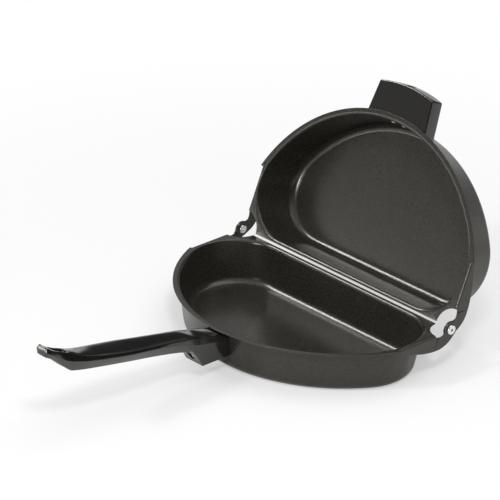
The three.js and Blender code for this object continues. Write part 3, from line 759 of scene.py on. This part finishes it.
def turned_tree():
    """Geometry nodes that spin a profile, lay the turned piece down and set out its copies."""
    tree = bpy.data.node_groups.new("turned_pieces", "GeometryNodeTree")
    for name, kind in (("Geometry", "NodeSocketGeometry"), ("Steps", "NodeSocketInt"),
                       ("Lean", "NodeSocketRotation"), ("Seat", "NodeSocketVector"),
                       ("Pivot", "NodeSocketVector"), ("Count", "NodeSocketInt"),
                       ("First Turn", "NodeSocketFloat"), ("Turn Between", "NodeSocketFloat"),
                       ("Material", "NodeSocketMaterial")):
        tree.interface.new_socket(name, in_out="INPUT", socket_type=kind)
    tree.interface.new_socket("Geometry", in_out="OUTPUT", socket_type="NodeSocketGeometry")

    def node(kind, settings=None, out=0, **links):
        made = tree.nodes.new(kind)
        for key, value in (settings or {}).items():
            setattr(made, key, value)
        for key, value in links.items():
            target = made.inputs[int(key[1:]) if key[0] == "_" else key.replace("_", " ")]
            if isinstance(value, bpy.types.NodeSocket):
                tree.links.new(value, target)
            else:
                target.default_value = value
        return made.outputs[out]

    def maths(operation, a, b):
        return node("ShaderNodeMath", {"operation": operation}, _0=a, _1=b)

    given = tree.nodes.new("NodeGroupInput").outputs
    points = node("GeometryNodeAttributeDomainSize", Geometry=given["Geometry"])
    columns = maths("ADD", given["Steps"], 1.0)
    grid = node("GeometryNodeMeshGrid", Size_X=1.0, Size_Y=1.0, Vertices_X=points, Vertices_Y=columns)
    index = node("GeometryNodeInputIndex")
    # the quarter keeps a whole quotient from being rounded down to the row before
    row = maths("FLOOR", maths("DIVIDE", maths("ADD", index, 0.25), columns), 0.0)
    column = maths("SUBTRACT", index, maths("MULTIPLY", row, columns))
    turn = maths("DIVIDE", maths("MULTIPLY", column, math.tau), given["Steps"])
    spot = node("GeometryNodeSampleIndex", {"data_type": "FLOAT_VECTOR"}, Geometry=given["Geometry"],
                Value=node("GeometryNodeInputPosition"), Index=row)
    spun = node("ShaderNodeVectorRotate", {"rotation_type": "Z_AXIS"}, Vector=spot, Angle=turn)
    body = node("GeometryNodeSetPosition", Geometry=grid, Position=spun)
    body = node("GeometryNodeMergeByDistance", Geometry=body, Distance=0.001)
    laid = node("GeometryNodeTransform", Geometry=body, Translation=given["Seat"], Rotation=given["Lean"])
    line = node("GeometryNodeMeshLine", Count=given["Count"], Offset=(0.0, 0.0, 0.0))
    swing = maths("ADD", given["First Turn"], maths("MULTIPLY", index, given["Turn Between"]))
    around = node("ShaderNodeCombineXYZ", Z=swing)
    copies = node("GeometryNodeInstanceOnPoints", Points=line, Instance=laid,
                  Rotation=node("FunctionNodeEulerToRotation", _0=around))
    moved = node("GeometryNodeTransform", Geometry=copies, Translation=given["Pivot"])
    real = node("GeometryNodeRealizeInstances", Geometry=moved)
    dressed = node("GeometryNodeSetMaterial", Geometry=real, Material=given["Material"])
    tree.links.new(dressed, tree.nodes.new("NodeGroupOutput").inputs[0])
    return tree


turning = turned_tree()


def turned(profile, material, steps=48, lean=(0, 0, 0), seat=(0, 0, 0), pivot=(0, 0, 0),
           count=1, first=0.0, between=0.0):
    """Mesh data of a turned piece and its copies, from a profile of (radius, height)."""
    data = bpy.data.meshes.new("profile")
    data.from_pydata([(r, 0, z) for r, z in profile], [(i, i + 1) for i in range(len(profile) - 1)], [])
    blank = linked("blank", data)
    modifier = blank.modifiers.new("turn", "NODES")
    modifier.node_group = turning
    values = {"Steps": steps, "Lean": lean, "Seat": seat, "Pivot": pivot, "Count": count,
              "First Turn": float(first), "Turn Between": float(between), "Material": material}
    for item in turning.interface.items_tree:
        if item.in_out == "INPUT" and item.name in values:
            modifier[item.identifier] = values[item.name]
    mesh = bmesh.new()
    mesh.from_mesh(applied(blank))
    bmesh.ops.recalc_face_normals(mesh, faces=mesh.faces)
    for face in mesh.faces:
        face.smooth = True
    for edge in mesh.edges:
        edge.smooth = edge.calc_face_angle(0.0) < TURNED_SHARP_ANGLE
    return mesh_data("turned", mesh)


def rolled(bore, lip, face, height, steps=8):
    """Profile of a head rolled over from a tube: round edge, flat ring and lip into the bore."""
    edge = abs(height) * ROLLED_EDGE
    line = [(lip - edge + edge * math.cos(a), face + height * math.sin(a))
            for a in (math.pi / 2 * s / steps for s in range(steps + 1))]
    return line + [(bore + LIP_WIDTH, face + height), (bore, face + height * LIP_LEVEL), (bore, face)]


def bright_metal():
    """Bright plating with a faint haze."""
    material, spot = finish("bright_plating")
    haze = spot.node("TexNoise", Vector=spot, Scale=420.0, Detail=3.0, Roughness=0.6)
    base = haze.between(0.3, 0.75).blend((0.74, 0.74, 0.73, 1), (0.86, 0.86, 0.85, 1))
    bump = spot.node("Bump", Strength=0.1, Distance=0.0001, Height=haze)
    surface = spot.node("BsdfPrincipled", Base_Color=base, Roughness=0.16 + 0.16 * haze,
                        Metallic=1.0, Normal=bump)
    close(material, surface)
    return material


bright = bright_metal()
head_face = EAR_SPREAD["lower"] + CLEARANCE
clinch_face = EAR_SPREAD["lid"] - SHEET - CLEARANCE
rivet_profile = rolled(HINGE_BORE, HINGE_CLINCH, clinch_face, -HINGE_CLINCH_HEIGHT)[::-1]
rivet_profile += [(HINGE_SHANK, clinch_face), (HINGE_SHANK, head_face)]
rivet_profile += rolled(HINGE_BORE, HINGE_HEAD, head_face, HINGE_HEAD_HEIGHT)
rivet_profile += [rivet_profile[0]]
hinge_rivets = turned(rivet_profile, bright, lean=(0, math.pi / 2, 0), count=2, between=math.pi)
settle("hinge_rivet_pair", hinge_rivets, "lower", "bright_steel", bright,
       "hinge_rivet_right", "hinge_rivet_left")


# Bracket rivets. Two low-headed steel rivets hold each bracket to the outside of the wall;
# their bright heads show on the cooking side, below the rim in line with the handle and grip.
RIVET_SPREAD = 5.6
RIVET_SHANK = 1.4
RIVET_HEAD = 2.1


def dome(radius, face, height, steps=7):
    """Profile of a rounded head, from its edge to the axis."""
    line = [(radius * math.cos(a), face + height * math.sin(a))
            for a in (math.pi / 2 * s / steps for s in range(steps))]
    return line + [(0, face + height)]


def bracket_rivets(drop):
    """The pair at one bracket, either side of the handle's line."""
    head, tail = -(SHEET + CLEARANCE), FOOT_THICKNESS + 2 * CLEARANCE
    profile = dome(RIVET_HEAD, head, -RIVET_HEAD_HEIGHT)[::-1] + [(RIVET_SHANK, head), (RIVET_SHANK, tail)]
    profile += dome(RIVET_HEAD, tail, RIVET_HEAD_HEIGHT)
    radius = WELL_RADIUS + WALL_SKIN - drop * DRAFT
    turn = math.asin(RIVET_SPREAD / radius)
    return turned(profile, bright, steps=32, lean=(math.pi / 2 + math.atan(DRAFT), 0, 0),
                  seat=(0, -radius, RIM_LEVEL - drop), pivot=(0, -RIM_CENTRE, 0),
                  count=2, first=-turn, between=2 * turn)


settle("handle_rivet_pair", bracket_rivets(HANDLE_SCREW_DROP), "lower", "bright_steel", bright,
       "handle_rivet_right", "handle_rivet_left")
settle("grip_rivet_pair", bracket_rivets(GRIP_SCREW_DROP), "lid", "bright_steel", bright,
       "grip_rivet_right", "grip_rivet_left")


# Fixing screws. Slotted cheese-head steel screws, plated bright, one through the handle's
# block and one through the grip, each sunk in a counterbore and driven into its bracket.
SCREW_HEAD_HEIGHT = 2.4
SCREW_ENTRY = 9
SCREW_POINT = 0.3
HEAD_SIDE_DROP = 1.1
HEAD_EDGE_ACROSS = 0.5
HEAD_EDGE_RISE = 0.7
HEAD_FLAT_SHARE = 0.55
HEAD_FLAT_DROP = 0.12
SLOT_WIDTH = 1
SLOT_DEPTH = 1.1


def fixing_screw(drop, seat):
    """A screw along its line, its slot level."""
    under = seat + CLEARANCE
    top = under + SCREW_HEAD_HEIGHT
    end = wall_out(drop) + TONGUE_LENGTH - SCREW_ENTRY
    point = SCREW_SHANK * SCREW_POINT
    side = top - HEAD_SIDE_DROP
    profile = [(0, end), (SCREW_SHANK - point, end), (SCREW_SHANK, end + point), (SCREW_SHANK, under),
               (SCREW_HEAD, under), (SCREW_HEAD, side)]
    profile += [(SCREW_HEAD - HEAD_EDGE_ACROSS * (1 - math.cos(a)), side + HEAD_EDGE_RISE * math.sin(a))
                for a in (math.pi / 2 * s / 6 for s in range(1, 7))]
    profile += [(SCREW_HEAD * HEAD_FLAT_SHARE, top - HEAD_FLAT_DROP), (0, top)]
    body = turned(profile, bright, lean=(math.pi / 2, 0, 0), seat=(0, 0, RIM_LEVEL - drop))
    slot = slab(SCREW_HEAD + OVERRUN, top - SLOT_DEPTH, top + OVERRUN,
                drop - SLOT_WIDTH / 2, drop + SLOT_WIDTH / 2)
    return joined(body, [("DIFFERENCE", slot)])


settle("handle_screw_slotted", fixing_screw(HANDLE_SCREW_DROP, HANDLE_SCREW_OUT),
       "lower", "bright_steel", bright, "handle_screw")
settle("grip_screw_slotted", fixing_screw(GRIP_SCREW_DROP, GRIP_SCREW_OUT),
       "lid", "bright_steel", bright, "grip_screw")


# Brackets. Plain zinc-plated steel, a foot curved to the wall with a square tongue for the
# screw, closed in by the moulding; their shape is the frame's own.
def plain_metal():
    """Dull zinc plating."""
    material, spot = finish("zinc_plating")
    grain = spot.node("TexNoise", Vector=spot, Scale=900.0, Detail=3.0, Roughness=0.6)
    base = grain.between(0.3, 0.7).blend((0.36, 0.37, 0.38, 1), (0.47, 0.475, 0.48, 1))
    surface = spot.node("BsdfPrincipled", Base_Color=base, Roughness=0.32 + 0.18 * grain, Metallic=1.0)
    close(material, surface)
    return material


zinc = plain_metal()
for node_name in ("handle_bracket", "grip_bracket"):
    bracket = frame["nodes"][node_name]
    bracket.data.materials.clear()
    bracket.data.materials.append(zinc)


# Floor, backdrop, light and camera. A plain pale table keeps the pan's shadow and fades to white
# away from it. Two small lamps in front light the table and matte surfaces, a key light at the
# left and a fill in front show only where they are mirrored, and the lens is a long one.
def backdrop_rays(start):
    """Wires that are 1 for rays that look at the backdrop, and for rays mirrored onto it."""
    seen, mirrored, clear = (start.node("LightPath", out=k) for k in (0, 3, 6))
    return seen.maths("MAXIMUM", seen, clear), mirrored


def table_top():
    """Matte near the pan, whiter with the distance from it for rays that look at the table."""
    material, spot = finish("pale_table")
    seen, mirrored = backdrop_rays(spot)
    matte = spot.node("BsdfDiffuse", Color=(0.88, 0.88, 0.88, 1))
    white = spot.node("Emission", Color=(1, 1, 1, 1), Strength=1.0)
    far = spot.node("VectorMath", {"operation": "LENGTH"}, out=1, _0=spot).between(0.22, 0.6)
    share = seen * (0.45 + 0.55 * far) + mirrored * 0.12
    close(material, spot.node("MixShader", _0=share, _1=matte, _2=white))
    return material


table_mesh = bmesh.new()
bmesh.ops.create_grid(table_mesh, x_segments=1, y_segments=1, size=6)
table = linked("table", mesh_data("table", table_mesh))
table.data.materials.append(table_top())

# in reflections the backdrop rises white behind the table, and the room is dark above it, with
# a broad glow at the left front, a small one high at the left back and white overhead
world = bpy.data.worlds.new("studio")
bpy.context.scene.world = world
world.use_nodes = True
world.node_tree.nodes.clear()
sky = Wire(world.node_tree)
way = sky.node("TexCoord", out=0)
height = sky.node("SeparateXYZ", out=2, Vector=way)
left_front, left_back = (sky.node("VectorMath", {"operation": "DOT_PRODUCT"}, out=1, _0=way, _1=side)
                         for side in ((-0.67, -0.74, 0.0), (-0.6, 0.54, 0.59)))
straight, mirrored = backdrop_rays(sky)
room = (0.04 + 0.96 * height.between(0.45, 0.9) + 0.9 * (1 - height.between(0.08, 0.12))
        + 0.27 * left_front.between(0.5, 0.9) + 0.5 * left_back.between(0.945, 0.985))
strength = straight + (1 - straight) * (mirrored * room + (1 - mirrored) * 0.5)
air = sky.node("Background", Color=(1, 1, 1, 1), Strength=strength)
world_output = world.node_tree.nodes.new("ShaderNodeOutputWorld")
world.node_tree.links.new(air.socket, world_output.inputs["Surface"])


def lamp(name, spot, aim, size, power, on_table=True, on_gloss=True):
    """An area lamp in metres and watts, which can be kept off matte surfaces or out of gloss."""
    light = bpy.data.lights.new(name, "AREA")
    light.shape = "RECTANGLE"
    light.size, light.size_y = size
    light.energy = power
    holder = linked(name, light)
    holder.location = spot
    holder.rotation_euler = (Vector(aim) - Vector(spot)).to_track_quat("-Z", "Y").to_euler()
    holder.visible_camera = False
    holder.visible_diffuse = on_table
    holder.visible_glossy = on_gloss


lamp("overhead", (0.2, 0.6, 1.6), (0, 0, 0.05), (1.6, 1.2), 8)
lamp("key_left", (-1.2, -0.46, 1.26), (0, 0.06, 0.05), (0.9, 0.26), 16, on_table=False)
lamp("front_high", (0.89, -0.64, 1.44), (0, 0, 0.05), (0.3, 0.3), 10, on_gloss=False)
lamp("front_left", (-0.59, -1.56, 1.25), (0, 0, 0.05), (0.3, 0.3), 12, on_gloss=False)
lamp("fill_front", (-0.09, -1.68, 0.5), (0, 0.06, 0.08), (0.4, 0.3), 12, on_table=False)
lamp("strip_low", (-1.2, -1.26, 0.14), (0, 0.06, 0.08), (0.9, 0.14), 2.5)

lens = bpy.data.cameras.new("camera")
lens.lens = 260.9
lens.sensor_width = 36
lens.clip_end = 20
camera = linked("camera", lens)
eye = Vector((1.7912, -1.6436, 1.2479))
target = Vector((-0.08363, 0.0445, 0.03327))
ahead = (target - eye).normalized()
across = ahead.cross(Vector((0, 0, 1))).normalized()
upright = across.cross(ahead)
roll = math.radians(0.31)
right = across * math.cos(roll) + upright * math.sin(roll)
upward = upright * math.cos(roll) - across * math.sin(roll)
camera.matrix_world = Matrix((right, upward, -ahead)).transposed().to_4x4()
camera.location = eye
bpy.context.scene.camera = camera
bpy.context.scene.view_settings.view_transform = "Standard"
